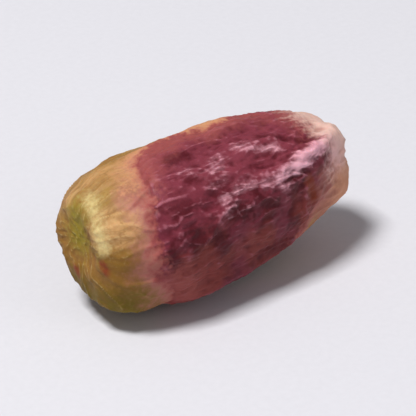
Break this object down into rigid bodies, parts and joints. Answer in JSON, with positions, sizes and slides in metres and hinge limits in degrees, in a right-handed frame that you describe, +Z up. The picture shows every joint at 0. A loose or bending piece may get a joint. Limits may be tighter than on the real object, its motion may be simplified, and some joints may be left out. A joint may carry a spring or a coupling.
{
  "type": "shelled pistachio kernel",
  "caption": "Shelled pistachio kernel in its papery skin: blunt tan end with a seed scar, flattened purple cheek, ridged flanks, a seam furrow and a small flat to rest on.",
  "frame": {"origin": "middle of the kernel's footprint, on the surface that its belly rests on", "axes": "+X along the long axis from the blunt seed-scar end to the tip, +Z up from the resting surface, -Y is the side of the purple cheek and +Y the side of the seam"},
  "size_m": [0.018, 0.009, 0.0088],
  "materials": {
    "seed_skin": "papery seed skin, satin, tan and olive to purple"
  },
  "bodies": {
    "root": {"kernel": "seed_skin"}
  },
  "joints": []
}
